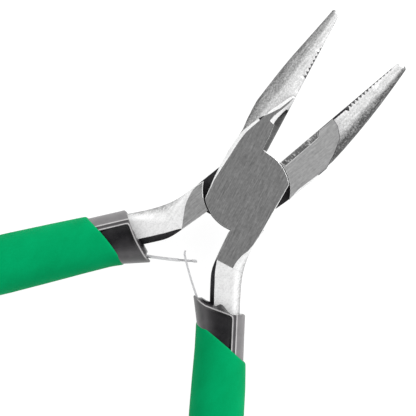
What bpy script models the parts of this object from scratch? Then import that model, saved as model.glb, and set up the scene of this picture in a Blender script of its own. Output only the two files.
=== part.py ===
# Mini combination pliers with a lap joint, side cutters and crossed leaf springs.
#
# Blender 4.5, metres, +Z up. The origin is on the pivot axis, in the ground front face of
# the joint. +X runs to the jaw tips, midway between the jaws, and the pliers lie open by
# OPEN_ANGLE, as their springs hold them. Each half is modelled in its own frame: closed,
# its jaw on +Y above the line y = 0, its handle on -Y, and z = 0 in the lap plane. The
# rear half is the same forging turned over about X, apart from the run of its arm.

import math

import bmesh
import bpy
from mathutils import Vector

NAME = "mini_combination_pliers"
MM = 0.001

# Joint and fits
OPEN_ANGLE = math.radians(21.75)
CLEARANCE = 0.3 * MM
HEAD_THICKNESS = 8.4 * MM
HEAD_WIDTH = 14.0 * MM
LAP_RADIUS = 8.6 * MM
RIVET_RADIUS = 2.0 * MM
RIVET_HEAD_RADIUS = 3.0 * MM
RIVET_HEAD_THICKNESS = 0.7 * MM
RIVET_DEPTH = 2.6 * MM
EDGE_BEVEL = 0.6 * MM

# Jaws and nose
JAW_LENGTH = 40.4 * MM
NOSE_SHOULDER = 16.0 * MM
NOSE_ROOT_OVERLAP = 1.0 * MM
NOSE_STEP = 0.15 * MM
NOSE_INSET = 0.3 * MM
NOSE_BOW = 0.2 * MM
TONGUE_LENGTH = 12.0 * MM
TONGUE_TIP = 0.45 * MM
BLUNT_START = 14.5 * MM
BLUNT_LENGTH = 8.0 * MM
TIP_WIDTH = 1.4 * MM
TIP_THICKNESS = 2.8 * MM
NOSE_ROUNDING = 0.9 * MM
CUTTER_GAP = 0.5 * MM
CUTTER_END = 18.0 * MM
CUTTER_BEVEL = 1.2 * MM
CUTTER_EDGE = 0.5 * MM
TEETH_START = 23.0 * MM
TOOTH_PITCH = 0.9 * MM
TOOTH_DEPTH = 0.42 * MM

# Arms and tangs
ARM_WIDTH = 5.6 * MM
ARM_THICKNESS = 8.1 * MM
ARM_END_THICKNESS = 6.6 * MM
ARM_CHAMFER = 0.9 * MM
GROUND_LENGTH = 15.0 * MM
TANG_RADIUS = 2.5 * MM
TANG_END_RADIUS = 1.7 * MM
TANG_FLATNESS = 0.85

# Handles: a straight run, then an arc that brings them back in line with the jaws
STRAIGHT_RUN = 29.0 * MM
ARC_RUN = 38.0 * MM
HANDLE_TURN = math.radians(34.5)
GRIP_WIDTH = 10.9 * MM
GRIP_THICKNESS = 12.0 * MM
GRIP_END_ROUNDING = 4.4 * MM
TANG_SHORTFALL = 9.0 * MM

# Collars, in handle coordinates: u back along the handle, v towards the other handle
GUARD_TIP = (-2.3 * MM, 6.2 * MM)
GUARD_ROUNDING = 0.8 * MM
COLLAR_OUTER = -4.6 * MM
COLLAR_THICKNESS = 11.4 * MM
COLLAR_ROUNDING = 2.0 * MM
COLLAR_STEP = 0.3 * MM
MOUTH_FRONT = -4.0 * MM
MOUTH_LIP = 0.5 * MM
MOUTH_SHOULDER = (0.4 * MM, 4.7 * MM)
MOUTH_BACK = (1.9 * MM, 4.4 * MM)
MOUTH_FLOOR = 1.5 * MM
SLEEVE_INNER_START = 2.5 * MM

# Leaf springs
LEAF_THICKNESS = 0.4 * MM
LEAF_WIDTH = 4.5 * MM
LEAF_LENGTH = 10.3 * MM
LEAF_HINGE = (-2.2 * MM, 5.0 * MM)
HINGE_GAP = 0.25 * MM
SLOT_START = 7.1 * MM
SLOT_END = 9.5 * MM
NECK_WIDTH = 1.6 * MM
TEE_WIDTH = 3.6 * MM
FOOT_START = -0.5 * MM
FOOT_LENGTH = 2.1 * MM
SPRING_RIVET_RADIUS = 0.7 * MM
SPRING_RIVET_HEAD = 1.2 * MM
SPRING_RIVET_HEAD_HEIGHT = 0.5 * MM
SPRING_RIVET_DEPTH = 2.0 * MM

# What differs between the halves: how far the arm lies below ARM_LINE at its start and at
# its end, its width at the collar, where the handle's axis starts and how it slants, where
# collar and sleeve start on the outside, and the leaf's angle
HALVES = {
    "front": {
        "arm_drop": 0.0,
        "arm_end_drop": 0.0,
        "arm_end_width": 5.6 * MM,
        "handle_start": (-23.9 * MM, -7.2 * MM),
        "handle_angle": math.radians(25.0),
        "collar_outer_start": 0.6 * MM,
        "sleeve_outer_start": 9.4 * MM,
        "leaf_angle": math.radians(44.6),
    },
    "rear": {
        "arm_drop": 1.0 * MM,
        "arm_end_drop": 1.3 * MM,
        "arm_end_width": 6.6 * MM,
        "handle_start": (-23.7 * MM, -8.55 * MM),
        "handle_angle": math.radians(26.5),
        "collar_outer_start": -0.3 * MM,
        "sleeve_outer_start": 7.6 * MM,
        "leaf_angle": math.radians(46.6),
    },
}

# The arm's centre line behind the joint
ARM_LINE = [
    (-7.0 * MM, -3.85 * MM),
    (-12.0 * MM, -3.85 * MM),
    (-16.0 * MM, -4.4 * MM),
    (-19.5 * MM, -5.7 * MM),
    (-23.0 * MM, -7.3 * MM),
    (-26.0 * MM, -8.7 * MM),
]

HALF_HEAD = HEAD_THICKNESS / 2
HALF_WIDTH = HEAD_WIDTH / 2
HALF_GAP = CLEARANCE / 2
SHOULDER_RADIUS = LAP_RADIUS + CLEARANCE
SEAM = 0.02 * MM
SEAM_OVERLAP = 0.5 * MM


def material(name, colour, roughness, metallic):
    """A plain Principled material."""
    made = bpy.data.materials.new(name)
    made.use_nodes = True
    shader = made.node_tree.nodes["Principled BSDF"]
    shader.inputs["Base Color"].default_value = (*colour, 1.0)
    shader.inputs["Roughness"].default_value = roughness
    shader.inputs["Metallic"].default_value = metallic
    made.diffuse_color = (*colour, 1.0)
    return made


def collection(name):
    """A new collection in the scene."""
    made = bpy.data.collections.new(name)
    bpy.context.scene.collection.children.link(made)
    return made


def empty(name, parent, location=(0, 0, 0), rotation=(0, 0, 0)):
    """An empty that carries the frame of a half or the axis of a leaf."""
    made = bpy.data.objects.new(name, None)
    made.location = location
    made.rotation_euler = rotation
    made.parent = parent
    PARTS.objects.link(made)
    return made


def place(obj, name, parent, finish=None):
    """Name an object, parent it, and give it its material or make it a cutter."""
    obj.name = name
    obj.data.name = name
    obj.parent = parent
    if finish is None:
        CUTTERS.objects.link(obj)
        obj.hide_render = True
        obj.display_type = "WIRE"
    else:
        PARTS.objects.link(obj)
        obj.data.materials.clear()
        obj.data.materials.append(finish)
    return obj


def mesh_from_curve(curve):
    """The closed mesh of a curve: its caps welded, its flat faces joined."""
    carrier = bpy.data.objects.new("outline", curve)
    bpy.context.scene.collection.objects.link(carrier)
    graph = bpy.context.evaluated_depsgraph_get()
    mesh = bpy.data.meshes.new_from_object(carrier.evaluated_get(graph))
    bpy.data.objects.remove(carrier)
    bm = bmesh.new()
    bm.from_mesh(mesh)
    bmesh.ops.remove_doubles(bm, verts=bm.verts, dist=0.00001)
    bmesh.ops.dissolve_limit(bm, angle_limit=0.001, verts=bm.verts, edges=bm.edges)
    bmesh.ops.recalc_face_normals(bm, faces=bm.faces)
    bm.to_mesh(mesh)
    bm.free()
    return mesh


def flat_solid(outlines, low, high):
    """A flat outline, with holes if there are more outlines, from z = low to z = high."""
    curve = bpy.data.curves.new("outline", "CURVE")
    curve.dimensions = "2D"
    curve.fill_mode = "BOTH"
    curve.extrude = (high - low) / 2
    for outline in outlines:
        spline = curve.splines.new("POLY")
        spline.points.add(len(outline) - 1)
        for point, (x, y) in zip(spline.points, outline):
            point.co = (x, y, 0, 1)
        spline.use_cyclic_u = True
    mesh = mesh_from_curve(curve)
    for vertex in mesh.vertices:
        vertex.co.z += (low + high) / 2
    return bpy.data.objects.new("solid", mesh)


def tube(path, radii, flatness):
    """A tube along a flat path, its section squeezed or stretched in z by flatness."""
    curve = bpy.data.curves.new("path", "CURVE")
    curve.dimensions = "3D"
    curve.bevel_depth = 1.0
    curve.bevel_resolution = 4
    curve.use_fill_caps = True
    spline = curve.splines.new("POLY")
    spline.points.add(len(path) - 1)
    for point, (x, y), radius in zip(spline.points, path, radii):
        point.co = (x, y, 0, 1)
        point.radius = radius
    mesh = mesh_from_curve(curve)
    for vertex in mesh.vertices:
        vertex.co.z *= flatness
    return bpy.data.objects.new("tube", mesh)


def turned(profile, sides):
    """A profile of (radius, z) points, top to bottom, turned about Z."""
    mesh = bpy.data.meshes.new("profile")
    points = [(radius, 0, z) for radius, z in profile]
    edges = [(index, index + 1) for index in range(len(points) - 1)]
    mesh.from_pydata(points, edges, [])
    obj = bpy.data.objects.new("turned", mesh)
    screw = obj.modifiers.new("turn", "SCREW")
    screw.steps = sides
    screw.render_steps = sides
    screw.use_merge_vertices = True
    screw.merge_threshold = 0.00001
    return obj


def bevel(obj, width, segments, chosen):
    """Bevel the edges for which chosen(first point, second point) is true."""
    weights = obj.data.attributes.new("bevel_weight_edge", "FLOAT", "EDGE")
    for edge in obj.data.edges:
        first, second = (obj.data.vertices[index].co for index in edge.vertices)
        weights.data[edge.index].value = 1.0 if chosen(first, second) else 0.0
    modifier = obj.modifiers.new("bevel", "BEVEL")
    modifier.width = width
    modifier.segments = segments
    modifier.limit_method = "WEIGHT"
    modifier.use_clamp_overlap = True


def combine(obj, other, operation):
    """Cut, join or intersect with another object."""
    modifier = obj.modifiers.new(operation.lower(), "BOOLEAN")
    modifier.operation = operation
    modifier.solver = "EXACT"
    modifier.object = other


def arc(radius, start, end, steps):
    """Points on a circle about the pivot, from one angle to another."""
    angles = [start + (end - start) * step / steps for step in range(steps + 1)]
    return [(radius * math.cos(a), radius * math.sin(a)) for a in angles]


def level(edge_points):
    """True for an edge that lies level, in a plane of constant z."""
    first, second = edge_points
    return abs(first.z - second.z) < 0.25 * abs(first.x - second.x) + 1e-6


def offset_line(line, distances):
    """A line moved sideways, each point to its left by its own distance."""
    moved = []
    for index, (point, distance) in enumerate(zip(line, distances)):
        before = Vector(line[max(index - 1, 0)])
        after = Vector(line[min(index + 1, len(line) - 1)])
        along = (after - before).normalized()
        moved.append((point[0] - along.y * distance, point[1] + along.x * distance))
    return moved


def height_at(line, x):
    """The y of a line at x, where the line runs towards -X."""
    for (x_from, y_from), (x_to, y_to) in zip(line, line[1:]):
        if x_to <= x <= x_from:
            return y_from + (y_to - y_from) * (x_from - x) / (x_from - x_to)
    return line[-1][1]


def arm_share(x):
    """How far along the arm x lies: 0 where it leaves the joint, 1 at its end."""
    start, end = ARM_LINE[1][0], ARM_LINE[-1][0]
    return min(max((x - start) / (end - start), 0), 1)


def between(start, end, share):
    """The value at a share of the way from start to end."""
    return start + (end - start) * share


def arm_band(half, margin):
    """The arm's inner and outer edge lines, both running towards -X."""
    centre = []
    widths = []
    for x, y in ARM_LINE:
        share = arm_share(x)
        centre.append((x, y - between(half["arm_drop"], half["arm_end_drop"], share)))
        widths.append(between(ARM_WIDTH, half["arm_end_width"], share) / 2 + margin)
    inner = offset_line(centre, [-width for width in widths])
    outer = offset_line(centre, widths)
    return inner, outer


def on_handle(half, u, v):
    """Handle coordinates to the half's own frame."""
    x, y = half["handle_start"]
    cosine, sine = math.cos(half["handle_angle"]), math.sin(half["handle_angle"])
    return (x - u * cosine - v * sine, y - u * sine + v * cosine)


def handle_path(half, start, end):
    """The handle's centre line from one distance to another, in the half's frame."""
    radius = ARC_RUN / HANDLE_TURN
    stations = [start, STRAIGHT_RUN / 2]
    stations += [STRAIGHT_RUN + ARC_RUN * step / 9 for step in range(10)]
    stations = [s for s in stations if start <= s < end - SEAM_OVERLAP] + [end]
    path = []
    for s in stations:
        turn = max(s - STRAIGHT_RUN, 0) / radius
        u = min(s, STRAIGHT_RUN) + radius * math.sin(turn)
        v = radius * (1 - math.cos(turn))
        path.append(on_handle(half, u, v))
    return stations, path


def nose_line():
    """The outer edge of the jaw, from the joint to the tip."""
    root = HALF_WIDTH - NOSE_INSET
    middle_x = (NOSE_SHOULDER + JAW_LENGTH) / 2
    middle_y = (root + TIP_WIDTH) / 2 + NOSE_BOW
    return [(NOSE_SHOULDER, root), (middle_x, middle_y), (JAW_LENGTH, HALF_GAP + TIP_WIDTH)]


def head_outline(half, plate_end, inset):
    """The joint seen from the front: lap disc, jaw root up to plate_end, arm root."""
    inner, outer = arm_band(half, -inset)
    ground_end = -GROUND_LENGTH - inset
    radius = LAP_RADIUS - inset
    flank = math.asin((HALF_WIDTH - inset) / radius)
    inner_y = height_at(inner, -radius)
    arm_corner = math.pi + math.asin(-inner_y / radius)
    jaw_corner = math.asin(HALF_GAP / radius)
    outline = arc(radius, jaw_corner, -flank, 12)
    outline += [point for point in outer if ground_end < point[0] < -radius]
    outline += [(ground_end, height_at(outer, ground_end))]
    outline += [(ground_end, height_at(inner, ground_end))]
    outline += arc(radius, arm_corner, math.pi - flank, 12)
    return outline + plate_end


def forging(which, half, frame):
    """One half: jaw with cutter and teeth, lap plate, arm and tang."""
    name = which + "_half"
    corner_y = HALF_WIDTH - EDGE_BEVEL
    flank_top = -corner_y + EDGE_BEVEL
    tongue_start = LAP_RADIUS + CUTTER_GAP
    tongue = [(tongue_start + TONGUE_LENGTH * along, HALF_GAP + HALF_WIDTH * up)
              for along, up in ((0, 0.97), (0.28, 0.72), (0.5, 0.56))]
    tongue += [(tongue_start + TONGUE_LENGTH, HALF_GAP + TONGUE_TIP),
               (tongue_start + TONGUE_LENGTH, HALF_GAP)]
    blunt = [(BLUNT_START + BLUNT_LENGTH * along, HALF_GAP + HALF_WIDTH * up)
             for along, up in ((0, 0.965), (0.44, 0.8), (0.81, 0.58), (0.97, 0.26), (1, 0))]

    def outer_edge(first, second):
        both_low = first.y < flank_top and second.y < flank_top
        both_high = first.y > corner_y and second.y > corner_y
        on_face = abs(abs(first.z) - HALF_HEAD) < 1e-6
        return level((first, second)) and on_face and (both_low or both_high)

    half_obj = flat_solid([head_outline(half, tongue, SEAM)], -SEAM_OVERLAP, HALF_HEAD)
    bevel(half_obj, EDGE_BEVEL, 2, outer_edge)
    place(half_obj, name, frame, STEEL)

    back = flat_solid([head_outline(half, blunt, 2 * SEAM)], -HALF_HEAD, 0)
    bevel(back, EDGE_BEVEL, 2, outer_edge)
    place(back, name + "_back", frame)
    combine(half_obj, back, "UNION")

    nose = nose_body()
    place(nose, name + "_nose", frame)
    combine(half_obj, nose, "UNION")

    arm = arm_body(half, 0)
    place(arm, name + "_arm", frame)
    combine(half_obj, arm, "UNION")

    tang = tang_body(half, 0)
    place(tang, name + "_tang", frame)
    combine(half_obj, tang, "UNION")

    recess = turned([(0, HALF_GAP), (SHOULDER_RADIUS, HALF_GAP),
                     (SHOULDER_RADIUS, -HEAD_THICKNESS), (0, -HEAD_THICKNESS)], 72)
    place(recess, name + "_recess", frame)
    combine(half_obj, recess, "DIFFERENCE")

    for sign, label in ((1, "front"), (-1, "back")):
        cutter = cutter_bevel(sign)
        place(cutter, name + "_cutter_" + label, frame)
        combine(half_obj, cutter, "DIFFERENCE")

    teeth = teeth_cutter()
    place(teeth, name + "_teeth", frame)
    combine(half_obj, teeth, "DIFFERENCE")
    return half_obj


def nose_body():
    """The tapered nose, a flat outline whose thickness falls towards the tip."""
    start = LAP_RADIUS + NOSE_ROOT_OVERLAP
    line = nose_line()
    outline = [(start, HALF_GAP), (JAW_LENGTH, HALF_GAP)]
    outline += list(reversed(line)) + [(start, HALF_WIDTH - NOSE_INSET)]
    nose = flat_solid([outline], -1, 1)
    root = HALF_HEAD - NOSE_STEP
    for vertex in nose.data.vertices:
        share = (vertex.co.x - start) / (JAW_LENGTH - start)
        vertex.co.z *= between(root, TIP_THICKNESS / 2, share)

    def outer_edge(first, second):
        far = min(first.y, second.y) > 2 * HALF_GAP
        return far and min(first.x, second.x) > start + CUTTER_GAP and level((first, second))

    bevel(nose, NOSE_ROUNDING, 3, outer_edge)
    return nose


def arm_body(half, margin):
    """The arm between joint and collar, rounded outside and chamfered inside."""
    inner, outer = arm_band(half, margin)
    outline = inner[1:] + list(reversed(outer[1:]))
    arm = flat_solid([outline], -1, 1)
    start, end = ARM_LINE[1][0], ARM_LINE[-1][0]
    for vertex in arm.data.vertices:
        share = (vertex.co.x - start) / (end - start)
        vertex.co.z *= between(ARM_THICKNESS, ARM_END_THICKNESS, share) / 2 + margin

    def long_edge(first, second):
        apart = abs(first.x - second.x) > abs(first.y - second.y)
        return apart and level((first, second))

    if margin == 0:
        bevel(arm, ARM_CHAMFER, 2, long_edge)
    return arm


def tang_body(half, margin):
    """The tang inside collar and sleeve, a flattened bar along the handle."""
    end = STRAIGHT_RUN + ARC_RUN - TANG_SHORTFALL + margin
    stations, path = handle_path(half, SEAM_OVERLAP - margin, end)
    radii = [between(TANG_RADIUS, TANG_END_RADIUS, max(s, 0) / end) + margin for s in stations]
    return tube(path, radii, TANG_FLATNESS)


def cutter_bevel(sign):
    """The wedge that leaves a slanting wall above or below the cutting edge."""
    top = HALF_HEAD + HALF_GAP
    wedge = [(-CUTTER_BEVEL, CUTTER_EDGE), (HALF_GAP, CUTTER_EDGE),
             (HALF_GAP + CUTTER_BEVEL, top), (-CUTTER_BEVEL, top)]
    section = [(y, sign * z) for y, z in wedge]
    start = LAP_RADIUS + CUTTER_GAP
    solid = flat_solid([section], 0, CUTTER_END - start)
    for vertex in solid.data.vertices:
        y, z, x = vertex.co
        vertex.co = (x + start, y, z)
    return outward(solid)


def outward(obj):
    """Turn the faces of a closed mesh outwards."""
    bm = bmesh.new()
    bm.from_mesh(obj.data)
    bmesh.ops.recalc_face_normals(bm, faces=bm.faces)
    bm.to_mesh(obj.data)
    bm.free()
    return obj


def teeth_cutter():
    """A row of V grooves across the gripping face."""
    count = int((JAW_LENGTH - TEETH_START - TOOTH_PITCH / 2) / TOOTH_PITCH)
    last = TEETH_START + count * TOOTH_PITCH
    crest = HALF_GAP - SEAM
    outline = [(last, -TOOTH_PITCH), (TEETH_START, -TOOTH_PITCH)]
    for tooth in range(count):
        x = TEETH_START + tooth * TOOTH_PITCH
        outline += [(x, crest), (x + TOOTH_PITCH / 2, HALF_GAP + TOOTH_DEPTH)]
    outline += [(last, crest)]
    return flat_solid([outline], -HEAD_THICKNESS, HEAD_THICKNESS)


def rivet_profile(margin):
    """The pivot rivet: flush head at the back, shank up into a blind hole."""
    head = RIVET_HEAD_RADIUS + margin
    shank = RIVET_RADIUS + margin
    top = RIVET_DEPTH + margin
    bottom = -HALF_HEAD - margin
    under_head = -HALF_HEAD + RIVET_HEAD_THICKNESS
    cone = RIVET_HEAD_RADIUS - RIVET_RADIUS
    return [(0, top), (shank, top), (shank, under_head + cone), (head, under_head),
            (head, bottom), (0, bottom)]


def pivot_rivet(frame, halves):
    """The rivet and its holes in both lap plates."""
    rivet = turned(rivet_profile(0), 40)
    place(rivet, "pivot_rivet", frame, RIVET_STEEL)
    hole = turned(rivet_profile(CLEARANCE), 40)
    place(hole, "pivot_hole", frame)
    for half_obj in halves:
        combine(half_obj, hole, "DIFFERENCE")


def collar(which, half, frame, holes):
    """The moulded collar: finger guard inside, mouth for the arm and the spring."""
    gap = CLEARANCE / math.cos(half["handle_angle"])
    guard = Vector(GUARD_TIP)
    outer = Vector((half["collar_outer_start"], COLLAR_OUTER))
    side = GRIP_WIDTH / 2 - COLLAR_STEP
    inner_end = Vector((SLEEVE_INNER_START - gap, side))
    outer_end = Vector((half["sleeve_outer_start"] - gap, -side))
    outline = [on_handle(half, *point) for point in (guard, inner_end, outer_end, outer)]
    body = flat_solid([outline], -COLLAR_THICKNESS / 2, COLLAR_THICKNESS / 2)
    back_line = (Vector(outline[2]) - Vector(outline[1])).normalized()

    def rim(first, second):
        along = (second - first).xy.normalized()
        return level((first, second)) and abs(along.dot(back_line)) < 0.999

    bevel(body, COLLAR_ROUNDING, 3, rim)
    place(body, which + "_collar", frame, COLLAR_PLASTIC)

    on_flank = guard + (inner_end - guard).normalized() * GUARD_ROUNDING
    on_front = guard + (outer - guard).normalized() * GUARD_ROUNDING
    beyond = guard * 2 - (on_flank + on_front) / 2
    corner = [on_handle(half, *point) for point in (on_flank, on_front, beyond)]
    tip_cut = flat_solid([corner], -COLLAR_THICKNESS, COLLAR_THICKNESS)
    place(tip_cut, which + "_guard_tip_cut", frame)
    combine(body, tip_cut, "DIFFERENCE")

    hinge_u, hinge_v = LEAF_HINGE
    lip_v = hinge_v + MOUTH_LIP
    mouth_outline = [(MOUTH_FRONT, lip_v), (hinge_u + MOUTH_LIP, lip_v), MOUTH_SHOULDER,
                     MOUTH_BACK, (MOUTH_BACK[0], MOUTH_FLOOR), (MOUTH_FRONT, MOUTH_FLOOR)]
    mouth_side = LEAF_WIDTH / 2 + 2 * CLEARANCE
    mouth = flat_solid([[on_handle(half, u, v) for u, v in mouth_outline]],
                       -mouth_side, mouth_side)
    place(mouth, which + "_mouth", frame)
    combine(body, mouth, "DIFFERENCE")
    for hole in holes:
        combine(body, hole, "DIFFERENCE")
    return body


def sleeve(which, half, frame, tang_hole):
    """The soft sleeve: an oval tube on the tang, cut off slanting at the collar."""
    total = STRAIGHT_RUN + ARC_RUN
    end_radius = GRIP_WIDTH / 2
    stations, path = handle_path(half, 0, total - GRIP_END_ROUNDING)
    radii = [end_radius] * len(stations)
    for step in range(1, 6):
        angle = math.pi / 2 * step / 5.4
        s = total - GRIP_END_ROUNDING * (1 - math.sin(angle))
        _, points = handle_path(half, s - MM, s)
        path.append(points[-1])
        radii.append(end_radius * math.cos(angle) ** 0.8)
    body = tube(path, radii, GRIP_THICKNESS / GRIP_WIDTH)
    place(body, which + "_sleeve", frame, SOFT_GREEN)
    inner = (SLEEVE_INNER_START, GRIP_WIDTH / 2)
    outer = (half["sleeve_outer_start"], -GRIP_WIDTH / 2)
    slope = (outer[0] - inner[0]) / (inner[1] - outer[1])
    far = GRIP_WIDTH / 4
    front = [(inner[0] - slope * far, inner[1] + far), (outer[0] + slope * far, outer[1] - far),
             (-GRIP_WIDTH, outer[1] - far), (-GRIP_WIDTH, inner[1] + far)]
    trim = flat_solid([[on_handle(half, u, v) for u, v in front]],
                      -GRIP_THICKNESS, GRIP_THICKNESS)
    place(trim, which + "_sleeve_trim", frame)
    combine(body, trim, "DIFFERENCE")
    combine(body, tang_hole, "DIFFERENCE")
    return body


def leaf(which, half, frame):
    """A moving leaf on its hinge: slotted on the front half, T-headed on the rear."""
    hinge = empty(which + "_leaf_axis", frame, (*on_handle(half, *LEAF_HINGE), 0),
                  (0, 0, half["leaf_angle"]))
    wide = LEAF_WIDTH / 2
    if which == "front":
        slot = NECK_WIDTH / 2 + CLEARANCE
        outlines = [
            [(HINGE_GAP, -wide), (LEAF_LENGTH, -wide), (LEAF_LENGTH, wide), (HINGE_GAP, wide)],
            [(SLOT_START, -slot), (SLOT_START, slot), (SLOT_END, slot), (SLOT_END, -slot)],
        ]
        name = "slotted_leaf_spring"
    else:
        neck, tee = NECK_WIDTH / 2, TEE_WIDTH / 2
        right = [(HINGE_GAP, -wide), (SLOT_START - CLEARANCE, -wide),
                 (SLOT_START - CLEARANCE, -neck), (SLOT_END, -neck),
                 (SLOT_END, -tee), (LEAF_LENGTH, -tee)]
        outlines = [right + [(x, -y) for x, y in reversed(right)]]
        name = "tongue_leaf_spring"
    blade = flat_solid(outlines, -LEAF_THICKNESS / 2, LEAF_THICKNESS / 2)
    blade.rotation_euler = (math.pi / 2, 0, 0)
    place(blade, name, hinge, SPRING_STEEL)


def foot_line(half):
    """Where the spring's foot lies along the arm, in handle coordinates."""
    inner, _ = arm_band(half, CLEARANCE + LEAF_THICKNESS / 2)
    ends = []
    for u in (FOOT_START, FOOT_START + FOOT_LENGTH):
        x, _ = on_handle(half, u, ARM_WIDTH / 2)
        y = height_at(inner, x)
        ends.append((x, y))
    return ends


def spring_root(which, half, frame, half_obj):
    """The spring's fixed foot against the arm, its kick to the hinge, and its rivet."""
    hinge = Vector(on_handle(half, *LEAF_HINGE))
    start, end = (Vector(point) for point in foot_line(half))
    kick = (start - hinge).normalized()
    points = [hinge + kick * HINGE_GAP, start, end]
    curve = bpy.data.curves.new("strip", "CURVE")
    curve.dimensions = "3D"
    curve.extrude = LEAF_WIDTH / 2
    spline = curve.splines.new("POLY")
    spline.points.add(len(points) - 1)
    for point, at in zip(spline.points, points):
        point.co = (at.x, at.y, 0, 1)
    strip = bpy.data.objects.new("strip", mesh_from_curve(curve))
    thickness = strip.modifiers.new("thickness", "SOLIDIFY")
    thickness.thickness = LEAF_THICKNESS
    thickness.offset = 0
    thickness.use_even_offset = True
    place(strip, which + "_spring_foot", frame, SPRING_STEEL)

    along = (end - start).normalized()
    outward_normal = Vector((along.y, -along.x))
    if outward_normal.y < 0:
        outward_normal = -outward_normal
    centre = (start + end) / 2
    angle = math.atan2(outward_normal.y, outward_normal.x)
    base = LEAF_THICKNESS / 2 + CLEARANCE

    def profile(margin):
        shank = SPRING_RIVET_RADIUS + margin
        head = SPRING_RIVET_HEAD + margin
        top = base + SPRING_RIVET_HEAD_HEIGHT + margin
        under = base - margin
        bottom = -base - SPRING_RIVET_DEPTH - margin
        return [(0, top), (head, top), (head, under), (shank, under), (shank, bottom), (0, bottom)]

    for margin in (0, CLEARANCE):
        shape = turned(profile(margin), 20)
        shape.location = (centre.x, centre.y, 0)
        shape.rotation_euler = (0, math.pi / 2, angle)
        if margin == 0:
            place(shape, which + "_spring_rivet", frame, RIVET_STEEL)
        else:
            place(shape, which + "_spring_rivet_hole", frame)
            combine(strip, shape, "DIFFERENCE")
            combine(half_obj, shape, "DIFFERENCE")


for old in list(bpy.data.objects):
    bpy.data.objects.remove(old)

PARTS = collection(NAME)
CUTTERS = collection(NAME + "_cutters")
STEEL = material("satin_steel", (0.60, 0.60, 0.60), 0.38, 1.0)
RIVET_STEEL = material("rivet_steel", (0.45, 0.45, 0.45), 0.3, 1.0)
SPRING_STEEL = material("spring_steel", (0.72, 0.72, 0.74), 0.22, 1.0)
COLLAR_PLASTIC = material("collar_plastic", (0.035, 0.032, 0.036), 0.2, 0.0)
SOFT_GREEN = material("soft_green", (0.0, 0.33, 0.11), 0.7, 0.0)

LAP_PLANE = empty("lap_plane", None, (0, 0, -HALF_HEAD))
FRONT_AXIS = empty("front_half_axis", LAP_PLANE, rotation=(0, 0, OPEN_ANGLE / 2))
REAR_AXIS = empty("rear_half_axis", LAP_PLANE, rotation=(0, 0, -OPEN_ANGLE / 2))
REAR_TURNED = empty("rear_half_turned_over", REAR_AXIS, rotation=(math.pi, 0, 0))
FRAMES = {"front": FRONT_AXIS, "rear": REAR_TURNED}

forgings = {}
for which, half in HALVES.items():
    frame = FRAMES[which]
    forgings[which] = forging(which, half, frame)
    tang_hole = place(tang_body(half, CLEARANCE), which + "_tang_hole", frame)
    arm_hole = place(arm_body(half, CLEARANCE), which + "_arm_hole", frame)
    collar(which, half, frame, [tang_hole, arm_hole])
    sleeve(which, half, frame, tang_hole)
    spring_root(which, half, frame, forgings[which])
    leaf(which, half, frame)
pivot_rivet(FRONT_AXIS, forgings.values())
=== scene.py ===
# %% [markdown]
# # Small combination pliers, lying open on white
#
# A pair of 5 inch pliers with a lap joint. Two equal forgings cross at a rivet. Each has a
# tapered nose with teeth, a side cutter, a ground lap plate and an arm that runs into a
# moulded collar and a soft green sleeve. Two leaf springs hook into each other between
# the handles and hold the pliers open.
#
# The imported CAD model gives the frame: where each body is and how it moves. This script
# dresses it. Nearly every visible form is a numpy surface, worked out in millimetres in
# a half's own frame and then moved to where that half lies.

# %% Load the frame and keep its size
import math

import bpy
import numpy as np
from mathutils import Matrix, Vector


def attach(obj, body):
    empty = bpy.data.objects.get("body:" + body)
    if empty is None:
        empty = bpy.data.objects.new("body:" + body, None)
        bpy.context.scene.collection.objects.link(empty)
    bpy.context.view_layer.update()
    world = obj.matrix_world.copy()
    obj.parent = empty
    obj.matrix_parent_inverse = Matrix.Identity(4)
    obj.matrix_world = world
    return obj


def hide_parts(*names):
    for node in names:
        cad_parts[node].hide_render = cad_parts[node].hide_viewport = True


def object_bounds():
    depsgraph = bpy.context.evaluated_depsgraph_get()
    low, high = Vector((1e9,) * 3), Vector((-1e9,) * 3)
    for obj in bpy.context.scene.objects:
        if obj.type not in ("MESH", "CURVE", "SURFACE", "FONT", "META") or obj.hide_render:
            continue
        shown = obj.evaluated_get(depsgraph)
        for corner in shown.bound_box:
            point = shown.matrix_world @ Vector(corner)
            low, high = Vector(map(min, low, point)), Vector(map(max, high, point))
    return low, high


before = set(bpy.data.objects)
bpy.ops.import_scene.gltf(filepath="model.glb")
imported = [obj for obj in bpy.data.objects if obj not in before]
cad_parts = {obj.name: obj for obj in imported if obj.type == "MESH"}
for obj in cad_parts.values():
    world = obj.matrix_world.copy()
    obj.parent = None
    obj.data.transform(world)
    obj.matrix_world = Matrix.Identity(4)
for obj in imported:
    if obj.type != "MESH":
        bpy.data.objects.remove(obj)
cad_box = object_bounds()
print("nodes:", sorted(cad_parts))

# %% [markdown]
# ## One frame for both halves
#
# The halves are the same forging, one of them turned over. So a form is worked out once,
# in a frame of its own: millimetres, the jaw on the +Y side of the line y = 0, the handle
# on the -Y side, and z = 0 in the plane where the halves lap. Its own lap plate is above
# that plane. Turning the half over is a rotation about X, so no shape comes out inside
# out, which a mirror would do.

# %% From a half's frame to the object's
MM = 0.001
OPEN_ANGLE = math.radians(21.75)
TURNS = {"front": OPEN_ANGLE / 2, "rear": -OPEN_ANGLE / 2}
LAP_Z = -4.2
SIDES = ("front", "rear")


def to_object(points, which):
    """Turn the rear half over about X, turn each half by half the opening, lower both to
    the lap plane, and change millimetres to metres."""
    x, y, z = points[..., 0], points[..., 1], points[..., 2]
    if which == "rear":
        y, z = -y, -z
    cosine, sine = math.cos(TURNS[which]), math.sin(TURNS[which])
    turned = [x * cosine - y * sine, x * sine + y * cosine, z + LAP_Z]
    return np.stack(turned, axis=-1) * MM


print("a jaw tip lies at", to_object(np.array([40.4, 0.15, 0.0]), "front"))

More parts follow.
